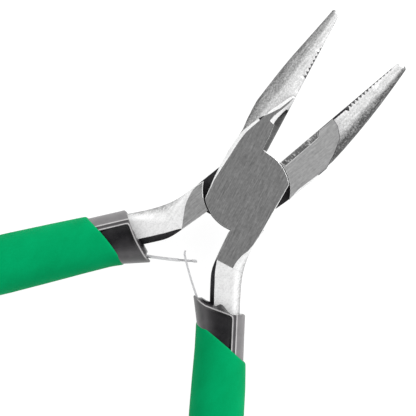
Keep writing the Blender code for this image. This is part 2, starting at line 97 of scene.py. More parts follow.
# %% [markdown]
# ## Nodes and colours
#
# Two small helpers serve every material. One reads a colour as a paint chip gives it, in
# sRGB hex, and turns it to the linear numbers that a shader counts with. The other adds a
# node, sets its properties and fills its sockets. The rest are built on these.

# %% Colour and node helpers
def linear(code):
    """sRGB hex to linear: below 0.04045 a straight part, above it a power of 2.4."""
    parts = np.array([int(code[i:i + 2], 16) for i in (1, 3, 5)]) / 255
    low, high = parts / 12.92, ((parts + 0.055) / 1.055) ** 2.4
    return (*np.where(parts <= 0.04045, low, high), 1.0)


def fill(node, sockets):
    """Give sockets a value, or link them where they get an output."""
    for key, value in sockets.items():
        if isinstance(value, bpy.types.NodeSocket):
            node.id_data.links.new(value, node.inputs[key])
        else:
            node.inputs[key].default_value = value


def add(tree, kind, sockets=None, **settings):
    """Add a node, set its properties and fill its sockets."""
    node = tree.nodes.new(kind)
    for key, value in settings.items():
        setattr(node, key, value)
    fill(node, sockets or {})
    return node


def material(name, sockets):
    """A new material with a Principled shader, its plain sockets filled."""
    made = bpy.data.materials.new(name)
    made.use_nodes = True
    shader = made.node_tree.nodes["Principled BSDF"]
    fill(shader, sockets)
    return made, made.node_tree, shader


def maths(tree, operation, *values):
    """The result of a maths node on two or three values."""
    return add(tree, "ShaderNodeMath", dict(enumerate(values)), operation=operation).outputs[0]


def grain(tree, size, turn=0.0, detail=3.0, roughness=0.55):
    """Noise whose blobs have a real size in millimetres along a half's own x, y and z."""
    where = add(tree, "ShaderNodeTexCoord").outputs["Object"]
    scale = [s * MM for s in size]
    laid = add(tree, "ShaderNodeMapping", {"Vector": where, "Rotation": (0, 0, turn),
                                           "Scale": scale}, vector_type="TEXTURE")
    noise = add(tree, "ShaderNodeTexNoise", {"Vector": laid.outputs[0], "Scale": 1.0,
                                             "Detail": detail, "Roughness": roughness})
    return noise.outputs["Fac"]


def shades(tree, value, stops):
    """Colours along a ramp, given as (position, hex)."""
    ramp = add(tree, "ShaderNodeValToRGB", {"Fac": value})
    while len(ramp.color_ramp.elements) < len(stops):
        ramp.color_ramp.elements.new(0.5)
    for element, (position, code) in zip(ramp.color_ramp.elements, stops):
        element.position = position
        element.color = linear(code)
    return ramp.outputs["Color"]


def spread(tree, value, low, high, from_low=0.3, from_high=0.7):
    """A value stretched from one range to another."""
    sockets = {"Value": value, "From Min": from_low, "From Max": from_high,
               "To Min": low, "To Max": high}
    return add(tree, "ShaderNodeMapRange", sockets).outputs["Result"]


def relief(shader, height, depth):
    """Bump of a given depth in millimetres."""
    raised = add(shader.id_data, "ShaderNodeBump", {"Height": height, "Distance": depth * MM})
    fill(shader, {"Normal": raised.outputs["Normal"]})


print("mid grey #808080 is", round(linear("#808080")[0], 3), "in linear light")

# %% [markdown]
# ## The steels
#
# A forging shows the last tool that touched it. The lap faces were ground: fine straight
# scratches along the half, and a face flat enough to mirror the dark of the room above.
# The arms and noses were blasted: a pale dull skin that scatters light from everywhere.
# The cutter's walls were milled, so they carry short upright lines. The lap surfaces
# inside the joint are painted dark: painted shade for the recess between the halves. Each
# is the same metal with its own roughness.

# %% Steel materials
def ground_steel(name, turn, low, high, roughness):
    """Straight scratches, drawn coarser than real ones so they show, over a mottle."""
    made, tree, shader = material("steel_surface_ground_" + name, {"Metallic": 1.0})
    scratch = grain(tree, (3.5, 0.22, 3.0), turn, roughness=0.65)
    mottle = grain(tree, (0.7, 0.5, 3.0), turn, roughness=0.6)
    both = maths(tree, "ADD", spread(tree, scratch, 0, 0.55), spread(tree, mottle, 0, 0.45))
    fill(shader, {"Base Color": shades(tree, both, [(0, low), (1, high)]),
                  "Roughness": spread(tree, scratch, roughness - 0.03, roughness + 0.04)})
    relief(shader, scratch, 0.003)
    return made


def dull_steel(name, low, high, roughness, pit):
    """A dark dull skin: pits about 0.3 mm across under a faint cloud."""
    made, tree, shader = material(name, {"Metallic": 1.0, "Roughness": roughness})
    pits = grain(tree, (0.32, 0.32, 0.32), roughness=0.7)
    cloud = grain(tree, (2.2, 2.2, 2.2), detail=2.0)
    both = maths(tree, "ADD", spread(tree, pits, 0, 0.6), spread(tree, cloud, 0, 0.4))
    fill(shader, {"Base Color": shades(tree, both, [(0, low), (1, high)])})
    relief(shader, pits, pit)
    return made


def blasted_steel_painted_shade():
    """Blasted steel whose 'tone' attribute paints shade on it: dark where 'tone' is 0. Its
    mottle
    is stronger where it is darker: 0.33 mm pits and streaks along the half, times 1.3 - tone."""
    made, tree, shader = material("steel_grit_blasted", {"Metallic": 0.5, "Roughness": 0.5})
    tone = add(tree, "ShaderNodeAttribute", attribute_name="tone").outputs["Fac"]
    pits = grain(tree, (0.33, 0.33, 0.33), roughness=0.75)
    streak = grain(tree, (2.5, 0.5, 2.5))
    rough = maths(tree, "ADD", spread(tree, pits, -0.32, 0.32),
                  spread(tree, streak, -0.16, 0.16))
    value = maths(tree, "MULTIPLY_ADD", rough, maths(tree, "SUBTRACT", 1.3, tone), tone)
    stops = [(0, "#4a4a4a"), (0.5, "#a2a2a2"), (1, "#f4f4f4")]
    fill(shader, {"Base Color": shades(tree, value, stops)})
    relief(shader, pits, 0.015)
    return made


# The same milling on both halves: the front's greys are darker, painted shade, and the rear's
# bright stop at 0.68 is a painted highlight.
MILL_MARKS_AND_PAINTED_LIGHT = {"front": [(0.35, "#333333"), (0.65, "#5c5c5c")],
              "rear": [(0.38, "#333333"), (0.55, "#6c6c6c"), (0.68, "#e8e8e8")]}


def milled_steel(which):
    """Short upright marks of a side mill, about 0.35 mm apart."""
    made, tree, shader = material("steel_side_milled_" + which,
                                  {"Metallic": 1.0, "Roughness": 0.4})
    marks = grain(tree, (0.5, 1.4, 4.0), TURNS[which], roughness=0.7)
    fill(shader, {"Base Color": shades(tree, marks, MILL_MARKS_AND_PAINTED_LIGHT[which])})
    relief(shader, marks, 0.01)
    return made


# One ground finish on faces that all face up: the front's copy is greyer and the rear's and the
# jaw's are lighter, painted shade and painted light.
GROUND = {"front": ground_steel("front", TURNS["front"], "#9a9a9a", "#d8d8d8", 0.32),
          "rear": ground_steel("rear", TURNS["rear"], "#b2b2b2", "#e6e6e6", 0.36)}
JAW_GROUND = ground_steel("jaw", TURNS["rear"], "#bebebe", "#ececec", 0.38)
MILLED = {which: milled_steel(which) for which in SIDES}
BLASTED = blasted_steel_painted_shade()
# Dark finish for walls and the arm's inner chamfer; on the noses and at the tongue's notch it is
# painted shade.
SCALE_AND_PAINTED_SHADE = dull_steel("steel_forging_scale_and_painted_shade", "#2b2a2c", "#48464a", 0.55, 0.02)
# The dark lap face is painted shade: the recess inside the joint, where the halves leave a gap.
LAP_PAINTED_SHADE = dull_steel("steel_lap_painted_shade", "#39383a", "#4c4b4d", 0.5, 0.005)
print("steels:", [m.name for m in bpy.data.materials if m.name.startswith("steel")])

# %% [markdown]
# ## The moulded and soft finishes
#
# The collars are glossy charcoal plastic with a duller grey band outside: an attribute on
# each point says how much of the band shows, so the change is as soft as on the moulding.
# The same attribute paints a highlight on the beads' crests and shade in the groove and at
# the front end.
# The sleeves are green foamed rubber, dull with a fine skin. The springs are bright
# rolled strip. The rivet is turned, and its head shows rings round its centre.

# %% Plastic, rubber, strip and rivet
def moulded_plastic():
    """Charcoal ABS: 'tone' 0 is the glossy panel, 0.7 the duller band, 1 a painted highlight on
    a crest.
    """
    made, tree, shader = material("abs_moulded_charcoal", {"Specular IOR Level": 0.4})
    tone = add(tree, "ShaderNodeAttribute", attribute_name="tone").outputs["Fac"]
    cloud = spread(tree, grain(tree, (1.6, 1.6, 1.6), detail=2.0), -0.03, 0.03)
    colour = shades(tree, maths(tree, "ADD", tone, cloud),
                    [(0, "#100f12"), (0.35, "#4b494b"), (0.7, "#838182"), (1, "#d8d6d6")])
    fill(shader, {"Base Color": colour, "Roughness": spread(tree, tone, 0.22, 0.45, 0, 0.7)})
    relief(shader, grain(tree, (0.4, 0.4, 0.4), detail=2.0), 0.004)
    return made


def foamed_rubber():
    """Green foam with a skin: cells 0.35 mm across and slow clouds of tone."""
    made, tree, shader = material("rubber_foamed_green", {"Specular IOR Level": 0.02})
    cells = grain(tree, (0.35, 0.35, 0.35), detail=2.0, roughness=0.6)
    cloud = grain(tree, (7.0, 4.0, 4.0))
    tone = maths(tree, "ADD", spread(tree, cells, 0, 0.35), spread(tree, cloud, 0, 0.65))
    fill(shader, {"Base Color": shades(tree, tone, [(0, "#008e54"), (1, "#009d60")]),
                  "Roughness": spread(tree, cells, 0.5, 0.66)})
    relief(shader, cells, 0.02)
    return made


def rolled_strip():
    """Bright hard strip with faint lines along the roll."""
    made, tree, shader = material("steel_rolled_strip", {"Metallic": 0.5})
    lines = grain(tree, (0.2, 3.0, 0.2), detail=2.0)
    fill(shader, {"Base Color": shades(tree, lines, [(0.3, "#c0c0c2"), (0.7, "#e0e0e2")]),
                  "Roughness": spread(tree, lines, 0.4, 0.5)})
    return made


def turned_steel():
    """Rings 0.2 mm apart about the pivot, left by the tool that faced the head."""
    made, tree, shader = material("steel_turned", {"Metallic": 1.0, "Roughness": 0.3})
    where = add(tree, "ShaderNodeTexCoord").outputs["Object"]
    rings = add(tree, "ShaderNodeTexWave", {"Vector": where, "Scale": 800.0,
                                            "Distortion": 0.4, "Detail": 1.0},
                wave_type="RINGS", rings_direction="Z").outputs["Fac"]
    fill(shader, {"Base Color": shades(tree, rings, [(0, "#8c8c8c"), (1, "#b0b0b0")])})
    relief(shader, rings, 0.004)
    return made


COLLAR_ABS = moulded_plastic()
GREEN_FOAM = foamed_rubber()
STRIP = rolled_strip()
TURNED = turned_steel()
print(len(bpy.data.materials), "materials are ready")

# %% [markdown]
# ## Rings of points to a mesh
#
# A form here is a stack of rings: the same number of points in every ring, each ring
# joined to the next by quads, and the first and the last ring closed by one flat face.
# The volume, from the divergence theorem, says whether the faces look outwards. If it is
# below zero they are all turned round at once.

# %% The mesh maker
def ring_quads(rings, count):
    """Quads between each ring and the next, each ring closed on itself."""
    k, i = np.meshgrid(np.arange(rings - 1), np.arange(count), indexing="ij")
    j = (i + 1) % count
    corners = [k * count + i, k * count + j, (k + 1) * count + j, (k + 1) * count + i]
    return np.stack(corners, axis=-1).reshape(-1, 4)


def capped(stations, count):
    """The quads, then the first and the last ring as one face each."""
    last = (stations - 1) * count
    return [*ring_quads(stations, count), np.arange(count)[::-1], last + np.arange(count)]


def volume(points, faces):
    """A sixth of the sum over all triangles of a . (b x c)."""
    total = 0.0
    for size in {len(face) for face in faces}:
        same = np.array([face for face in faces if len(face) == size])
        for step in range(1, size - 1):
            a, b, c = (points[same[:, n]] for n in (0, step, step + 1))
            total += np.einsum("ij,ij->", a, np.cross(b, c)) / 6
    return total


def make(name, points, faces, which, finishes, face_finish=(), sharp=30.0, tone=None):
    """A mesh object from points in a half's frame, with its materials and soft shading.
    Faces past the end of face_finish get the first finish."""
    points = to_object(points.reshape(-1, 3), which)
    faces = [list(map(int, face)) for face in faces]
    size = volume(points, faces)
    if size < 0:
        faces = [face[::-1] for face in faces]
    mesh = bpy.data.meshes.new(name)
    mesh.from_pydata(points.tolist(), [], faces)
    for finish in finishes:
        mesh.materials.append(finish)
    index = np.zeros(len(faces), dtype=np.int32)
    index[:len(face_finish)] = face_finish
    mesh.polygons.foreach_set("material_index", index)
    if tone is not None:
        mesh.attributes.new("tone", "FLOAT", "POINT").data.foreach_set("value", tone.ravel())
    mesh.set_sharp_from_angle(angle=math.radians(sharp))
    curved = np.array([len(face) == 4 for face in faces])
    mesh.polygons.foreach_set("use_smooth", curved)
    mesh.update()
    obj = bpy.data.objects.new(name, mesh)
    bpy.context.scene.collection.objects.link(obj)
    print(name, len(faces), "faces,", round(abs(size) * 1e9), "mm3")
    return obj


# %% [markdown]
# ## A bevelled slab
#
# The lap plates and the blocks behind them are flat, with bevels that change along the
# outline: none at a sharp edge, a wide slope at the cutter, a round shoulder on the arm.
# So each point of the wall line carries its own small profile. It leaves the wall below
# the face by the bevel's drop and reaches the face at the matching point of a second
# line, the edge of the flat. A roundness of 1 makes the profile a quarter ellipse, and 0
# a straight chamfer.

# %% Slab: two lines and the profile between them
BEVEL_STEPS = 6


def profile(roundness, knee=0.5, rise=0.5):
    """Shares across and up the bevel: a quarter ellipse mixed with a straight line. At its
    middle step they are the knee and the rise, so a chamfer can have two slopes."""
    t = np.linspace(0, 1, BEVEL_STEPS + 1)[:, None]
    a, b = (np.where(t < 0.5, 2 * t * k, k + (2 * t - 1) * (1 - k)) for k in (knee, rise))
    across = roundness * (1 - np.cos(a * np.pi / 2)) + (1 - roundness) * a
    up = roundness * np.sin(b * np.pi / 2) + (1 - roundness) * b
    return across, up


def face_rings(wall, edge, level, drop, roundness, knee=0.5, rise=0.5):
    """Rings from the wall line to the edge of a flat face at a level; a drop above zero
    comes from below, a drop below zero from above."""
    across, up = profile(roundness, knee, rise)
    plan = wall[None] + (edge - wall)[None] * across[..., None]
    height = level - drop * (1 - up)
    return np.concatenate([plan, height[..., None]], axis=-1)


def slab(wall, top, bottom):
    """Points and faces of a slab; top and bottom are (edge line, level, drop, roundness),
    maybe with knee and rise. Also says which ring gap and which point a face belongs to."""
    upper = face_rings(wall, *top)
    lower = face_rings(wall, *bottom)[::-1]
    rings = np.concatenate([lower, upper])
    faces = capped(len(rings), len(wall))
    gap, point = np.divmod(np.arange(len(faces) - 2), len(wall))
    return rings, faces, gap, point


def normals(line):
    """Outward directions of a closed line that runs counter-clockwise, lengthened at the
    corners so that an inset keeps its width."""
    before = line - np.roll(line, 1, axis=0)
    after = np.roll(line, -1, axis=0) - line
    before /= np.linalg.norm(before, axis=1)[:, None]
    after /= np.linalg.norm(after, axis=1)[:, None]
    side = np.stack([before[:, 1] + after[:, 1], -before[:, 0] - after[:, 0]], axis=1)
    side /= np.linalg.norm(side, axis=1)[:, None]
    fit = (side * np.stack([after[:, 1], -after[:, 0]], axis=1)).sum(axis=1)
    return side / np.maximum(fit, 0.5)[:, None]


def arc(radius, first, last, count):
    """Points on a circle about the pivot, from one angle in degrees to another."""
    angle = np.radians(np.linspace(first, last, count))
    return np.stack([radius * np.cos(angle), radius * np.sin(angle)], axis=1)


print("a bevel has", BEVEL_STEPS, "steps")

# %% [markdown]
# ## The arms' lines
#
# Behind the joint each arm bends away from the other one. Its two edges are a few points
# from the drawing, sampled every half millimetre and averaged along 2.5 mm so that no
# corner shows. The rear arm is broader and sits further out than the front one.

# %% Arm lines
ARM_OUTER = {
    "front": [(-4, -6.9), (-7, -6.62), (-9, -6.4), (-11, -6.45), (-13, -6.7), (-15, -7.15),
              (-17, -7.87), (-19, -8.75), (-22, -10.2), (-27, -12.4)],
    "rear": [(-4, -7.1), (-7, -7.3), (-9, -7.4), (-11, -7.55), (-13, -7.95), (-15, -8.65),
             (-17, -9.55), (-19, -10.6), (-21, -11.75), (-27, -15.0)],
}
ARM_INNER = {
    "front": [(-4, -0.7), (-9, -0.8), (-13, -0.95), (-15, -1.05), (-17, -1.25), (-18, -1.5),
              (-19, -1.95), (-22, -3.4), (-27, -6.0)],
    "rear": [(-4, -1.6), (-9, -1.9), (-13, -2.25), (-15, -2.4), (-17, -2.6), (-18, -2.8),
             (-19, -3.15), (-22, -4.75), (-27, -7.3)],
}
GROUND_END = -15.0
ARM_END = -25.5


def smooth_line(points):
    """The line at every half millimetre of x, averaged with its neighbours."""
    x = np.arange(points[0][0], points[-1][0], -0.5)
    y = np.interp(-x, [-p[0] for p in points], [p[1] for p in points])
    padded = np.pad(y, 2, mode="reflect", reflect_type="odd")
    return np.stack([x, np.convolve(padded, np.ones(5) / 5, "valid")], axis=1)


def at_x(line, x):
    """The y of a line that runs towards -X, at one or more x."""
    return np.interp(-np.asarray(x), -line[:, 0], line[:, 1])


def points_at(line, x):
    """The line's points at the given x."""
    return np.stack([x, at_x(line, x)], axis=1)


ARMS = {which: (smooth_line(ARM_INNER[which]), smooth_line(ARM_OUTER[which]))
        for which in SIDES}
print("arm edges at the ground end:", [round(float(at_x(e, GROUND_END)), 2)
                                       for e in ARMS["front"]])

# %% [markdown]
# ## The lap plates
#
# The plate is what the camera sees first: a ground disc 14 mm across its flats, with the
# tongue that runs out beside the nose and the ground start of the arm. A real one is
# forged with the half and ground flat. Here its outline is one closed line, and the width
# of the bevel is given along it: a hair at the disc, up to 0.75 mm of blasted slope on the
# flank, the cutter's wall on the inside, and a bright chamfer round the tongue. The face
# stays bare: nothing is etched on it.

# %% Lap plates
HEAD = 4.2
FACE = {"front": HEAD, "rear": HEAD - 0.03}  # the rivet's head stands proud of the rear one
GAP, SUNK = 0.15, 0.5  # where a plate starts and a block ends, above the lap plane
BITE_LINE = {"front": 0.02, "rear": 0.15}
PALE = 0.93
# Painted shade: the blasted skin grows darker towards an arm's outer edge, step by step.
ARM_PAINTED_SHADE = [0.42, 0.5, 0.65, 0.86, 0.95]  # from the arm's outer wall inwards, by step
LAP_RADIUS = 8.6
BACK_RADIUS = {"front": 8.48, "rear": 8.62}
FLANK = {"front": [7.0, 6.92, 6.62], "rear": [6.65, 6.55, 6.5]}
HAIR = 0.02  # the plate's lower edge is hardly broken
CUT, FLAT, WALL, SLOPE, LAPPED = range(5)  # finishes, in the order of the materials


def painted_edge_shade(x, step):
    """Grey of the blasted skin: pale, with painted shade that darkens an arm's outer edge and
    the walls towards the nose. The step counts the rings from the wall."""
    on_arm = np.clip((-x - 8) / 7, 0, 1)
    pale = np.where(step == 0, np.interp(x, [8, 13], [PALE, 0.35]), PALE)
    return pale + on_arm * (np.interp(step, np.arange(5), ARM_PAINTED_SHADE) - pale)


def part(points, width, drop, roundness, bevel, side, knee=0.5, rise=0.5):
    """A stretch of a slab's outline, a row for each point: its place, its bevel's width,
    drop and roundness, the finish of bevel and wall, and the knee and rise."""
    told = (width, drop, roundness, bevel, side, knee, rise)
    return np.column_stack([points, *(np.broadcast_to(v, len(points)) for v in told)])


def forged(name, which, parts, across, above=False):
    """A slab whose outline is made of parts. The plate's bevels are above, a block's below.
    The first points, as many as across says, have theirs straight across the half."""
    rows = np.concatenate(parts)
    wall = rows[:, :2]
    width, drop, roundness, bevel, side, knee, rise = rows[:, 2:].T
    edge = wall - normals(wall) * width[:, None]
    if across:
        edge[:across] = wall[:across] + np.outer(width[:across], [0, 1])
        edge[-1] = wall[-1] - [0, width[-1]]
    hair = np.full(len(wall), HAIR)
    if above:
        top = edge, FACE[which], drop, roundness, knee, rise
        bottom = wall - normals(wall) * HAIR, GAP, -hair, hair
        caps, sign = [LAPPED, FLAT], 1
    else:
        top = wall, SUNK, 0 * hair, 0
        bottom = edge, -HEAD, -drop, roundness, knee, rise
        caps, sign = [FLAT, SLOPE], -1
    rings, faces, gap, point = slab(wall, top, bottom)
    # The cutter's bevel is milled from the wall to the knee, then blasted.
    step = sign * (gap - BEVEL_STEPS) - 1
    sloped = np.where((bevel[point] == CUT) & (step >= BEVEL_STEPS // 2), SLOPE, bevel[point])
    finish = np.concatenate([np.where(step < 0, side[point], sloped), caps])
    ground = JAW_GROUND if name == "_jaw_root" else GROUND[which]
    # The blasted skin's painted shade follows x: an arm's outer edge darkens behind the plate,
    # the walls darken towards the nose.
    outside = np.where(np.arange(len(wall)) < across, wall[:, 0], np.maximum(wall[:, 0], 0))
    ring_step = np.maximum(sign * (np.arange(len(rings)) - BEVEL_STEPS - above), 0)[:, None]
    return make(which + name, rings, faces, which,
                [MILLED[which], ground, SCALE_AND_PAINTED_SHADE, BLASTED, LAP_PAINTED_SHADE], finish,
                tone=painted_edge_shade(outside, ring_step))


def lap_plate(which):
    """The plate above the lap plane, square where the grinding ends."""
    inner, outer = ARMS[which]
    line_y = BITE_LINE[which]
    x_out = np.array([GROUND_END, -13.5, -12.0, -10.5, -9.0, -7.0])
    x_in = np.array([-8.9, -11.0, -13.0, GROUND_END])
    return forged("_lap_plate", which, [
        part(points_at(outer, x_out), [2.3, 1.9, 1.3, 0.5, 0.15, 0.12],
             [1.9, 1.7, 1.2, 0.5, 0.15, 0.12], 1, SLOPE, SLOPE),
        part(arc(LAP_RADIUS, -54.48, -0.5, 30), 0.1, 0.1, 0.5, SLOPE, WALL),
        part([(x, line_y) for x in (8.9, 12, 14.2, 14.5, 15.8, 17)],
             [1.0, 1.05, 1.25, 2.4, 2.1, 1.6], [3.7, 3.7, 3.7, 3.6, 3.2, 2.4], 0, CUT, CUT,
             [0.97, 0.97, 0.97, 0.6, 0.6, 0.55], 0.86),
        part([(x, line_y) for x in (18.1, 19.5, 21)], [1.1, 0.6, 0.3], [0.9, 0.5, 0.3], 0,
             SLOPE, WALL),
        part([(21.1, 0.6), (20.6, 1.15), (18, 2.5), (15.8, 3.6)], [0.4, 0.65, 0.8, 0.4],
             0.3, 0.3, SLOPE, SLOPE),
        # A steep notch at the tongue's root, its bevel and wall in the dark finish: painted
        # shadow where the tongue leaves the nose.
        part([(14.9, 4.05)], 0.18, 1.2, 0, WALL, WALL),
        part([(13.9, 4.65), (12.5, 5.35), (10.5, 6.2), (8, 6.7), (5, 6.92)],
             [0.5, 0.6, 0.7, 0.75, 0.75], [0.6, 0.8, 1.0, 1.2, 1.2], 1, SLOPE, SLOPE),
        part(np.stack([[2, -1, -4.7], FLANK[which]], axis=1), [0.55, 0.25, 0.12],
             [1.1, 0.6, 0.2], 1, SLOPE, SLOPE),
        part(arc(BACK_RADIUS[which], 130, 186.4, 28), 0.06, 0.06, 0.5, FLAT, WALL),
        part(points_at(inner, x_in), 0.1, 0.1, 0.5, FLAT, WALL),
    ], len(x_out), above=True)


plates = {which: lap_plate(which) for which in SIDES}

# %% [markdown]
# ## The blocks behind the plates
#
# On the far side of the lap plane the same forging stands up on either side of the other
# half's disc: the root of the jaw in front of it and the root of the arm behind it, each
# hollowed to a circle 0.16 mm clear of the disc. Their faces are ground too.

# %% Jaw and arm blocks
SHOULDER_RADIUS = 8.76
JAW_FLANK = {"front": [6.6, 6.4, 6.6], "rear": [7.05, 7.05, 6.98]}


def jaw_block(which):
    """Blunt block with the cutter's other wall."""
    line_y = BITE_LINE[which]
    return forged("_jaw_root", which, [
        part([(x, line_y) for x in (9.1, 12, 15.4, 17.9)], [1.25, 1.25, 1.25, 1.15],
             [3.7, 3.7, 3.7, 3.4], 0, CUT, CUT, 0.88, 0.88),
        part([(19, line_y), (22.5, line_y), (22.5, 0.6), (22.25, 2.1), (21, 4.2),
              (18, 5.85), (15, JAW_FLANK[which][0])], 0.1, 0.15, 0.3, WALL, WALL),
        part(np.stack([[13, 10.5, 8], JAW_FLANK[which]], axis=1), [0.2, 0.35, 0.4],
             [0.3, 0.5, 0.6], 1, SLOPE, SLOPE),
        part(arc(SHOULDER_RADIUS, 52.6, 1.0, 24), 0.06, 0.06, 0, FLAT, WALL),
    ], across=0)


def arm_block(which):
    """Block behind the disc. The round shoulder on it widens towards the collar, until the
    ground face ends in a point at the inner edge."""
    inner, outer = ARMS[which]
    x_out = np.array([GROUND_END, -14.4, -13.5, -12.6, -11.5, -10.5, -9.3, -8.2, -7.2])
    x_in = np.array([-9.2, -11.0, -13.0, GROUND_END])
    full = at_x(inner, GROUND_END) - at_x(outer, GROUND_END)
    flat_end = 187.9 if which == "front" else 193.0
    return forged("_arm_root", which, [
        part(points_at(outer, x_out),
             [full - 0.15, full - 0.7, 4.4, 3.4, 2.2, 1.45, 0.8, 0.36, 0.15],
             [1.5, 1.5, 1.45, 1.4, 1.2, 1.0, 0.65, 0.35, 0.15], 1, SLOPE, SLOPE),
        part(arc(SHOULDER_RADIUS, 232.6, 212, 12), 0.12, 0.12, 0, SLOPE, WALL),
        part(arc(SHOULDER_RADIUS, 210, flat_end, 12), 0.04, 0.04, 0, FLAT, WALL),
        part(points_at(inner, x_in), 0.1, 0.1, 0.5, FLAT, WALL),
    ], across=len(x_out))


blocks = {which: [jaw_block(which), arm_block(which)] for which in SIDES}

# %% [markdown]
# ## Bars between two edge lines
#
# Nose, arm and tang are bars whose width and height change along their length. A bar is
# a section carried between an inner and an outer edge line: a rectangle whose four long
# edges are bevelled, each corner with its own width, drop and roundness at each station.
# The nose's outer corner is a wide round, painted darker towards its edge as shade, and its
# inner face carries the teeth, which are only a zigzag in the inner line. The gripping face
# is painted dark too: painted shade in the teeth.

# %% Bar and nose
def bar(inner, outer, height, bevels, middle=None):
    """Points of a bar, one ring for each station. The four bevels go round from the outer
    top corner by the inner side to the outer low corner. Where middle is given, the inner
    side has one more point half way down, at that line."""
    across_line = inner - outer
    unit = across_line / np.linalg.norm(across_line, axis=1)[:, None]

    def corner(line, direction, bevel, sign):
        width, drop, roundness = (np.broadcast_to(b, len(line)) for b in bevel)
        return face_rings(line, line + direction * width[:, None], sign * height,
                          sign * drop, roundness)

    corners = [corner(outer, unit, bevels[0], 1),
               corner(inner, -unit, bevels[1], 1)[::-1],
               corner(inner, -unit, bevels[2], -1),
               corner(outer, unit, bevels[3], -1)[::-1]]
    if middle is not None:
        flat = np.concatenate([middle, np.zeros((len(middle), 1))], axis=1)
        corners.insert(2, flat[None])
    return np.concatenate(corners).transpose(1, 0, 2)


JAW_LENGTH = 40.37
NOSE_START = 9.7
TEETH_START, TEETH_END = {"front": 25.25, "rear": 25.6}, 38.4
TOOTH_PITCH, TOOTH_DEPTH = 0.9, 0.45
BITE = {"front": [1.2, 1.0, 0.2, 0.15], "rear": [1.6, 1.2, 0.7, 0.5]}
# Painted shade on the nose's outer round, by the share across the bevel, darker at the edge;
# each half is given its own.
NOSE_PAINTED_SHADE = {"front": ([0, 0.12, 0.3, 0.8, 1], [0.1, 0.24, 0.4, 0.48, 0.72]),
             "rear": ([0, 0.1, 0.5, 0.75, 1], [0, 0.05, 0.12, 0.45, 0.74])}
NOSE_OUTER = {"front": [6.3, 6.4, 6.55, 6.65, 6.6, 6.1, 5.4, 4.58, 3.6, 2.62, 1.8, 1.65, 1.35],
              "rear": [6.4, 6.5, 6.68, 6.8, 6.78, 6.42, 5.8, 5.08, 4.25, 3.3, 2.4, 2.2, 1.85]}


def nose(which):
    """The tapered nose. Its teeth are notches that run out half way down the gripping
    face, so that no light comes through them from below."""
    first = TEETH_START[which]
    teeth = np.arange(first, TEETH_END, TOOTH_PITCH / 2)
    x = np.concatenate([np.linspace(NOSE_START, 25.0, 32), teeth,
                        [39.2, 39.6, 39.9, 40.15, 40.32, JAW_LENGTH]])
    bite = np.where((x >= first) & (x < TEETH_END),
                    ((x - first) / TOOTH_PITCH * 2).round() % 2, 0)
    bite = bite * np.interp(x, [first, 31.5, 33, TEETH_END], BITE[which])
    root = np.interp(x, [17.4, 18.4], [1.6, BITE_LINE[which]])
    inner = np.stack([x, root + TOOTH_DEPTH * bite], axis=1)
    middle = np.stack([x, root], axis=1)
    y = np.interp(x, [9.7, 11, 13, 15, 17, 20, 24, 28, 32, 36, 39.5, 40.15, JAW_LENGTH],
                  NOSE_OUTER[which])
    outer = np.stack([x, y], axis=1)
    height = np.interp(x, [NOSE_START, 40.0, JAW_LENGTH], [4.0, 1.42, 1.2])
    wide = np.interp(x, [10, 16, 22, 28, 32, 36, 39.5, JAW_LENGTH],
                     [1.4, 2.5, 2.9, 2.5, 2.0, 1.4, 1.0, 0.6])
    edge = np.interp(x, [22.2, 22.6, 25.6, 28.5], [0.1, 0.42, 0.42, 0.1])
    round_edge = (wide, wide * 0.7, 1)
    inner_edge = (edge, edge, 0.5)
    rings = bar(inner, outer, height, (round_edge, inner_edge, inner_edge, round_edge),
                middle)
    faces = capped(*rings.shape[:2])
    place = np.arange(len(faces) - 2) % rings.shape[1]
    steps = BEVEL_STEPS + 1
    grip = (place >= 2 * steps - 1) & (place < 2 * steps + 1)
    bevelled = (place >= steps) & (place < 3 * steps)
    along = np.repeat((x[:-1] + x[1:]) / 2, rings.shape[1])
    # Painted shade: the gripping face past 18 mm and, on the rear half, the inner bevel from
    # 22.4 to 26.5 mm take the dark finish.
    dark = (grip & (along > 18.0)) | ((which == "rear") & bevelled & (along > 22.4)
                                      & (along < 26.5))
    across = profile(np.ones(1))[0].ravel()
    tone = np.interp(across, *NOSE_PAINTED_SHADE[which])
    ring_tone = np.concatenate([tone, np.full(2 * steps + 1, 0.8), tone[::-1]])
    return make(which + "_nose", rings, faces, which, [BLASTED, SCALE_AND_PAINTED_SHADE], dark,
                tone=np.tile(ring_tone, len(x)))


noses = {which: nose(which) for which in SIDES}

# %% [markdown]
# ## The arms
#
# From the end of the grinding to the collar the arm is blasted, round on the outside, with
# painted shade along its outer edge, and chamfered inside, where the chamfer takes the dark
# finish. It starts just inside the plate and the block, with the same shoulders as theirs,
# and ends in the collar's mouth.

# %% Arms
CHAMFER = {"front": 0.95, "rear": 1.45}


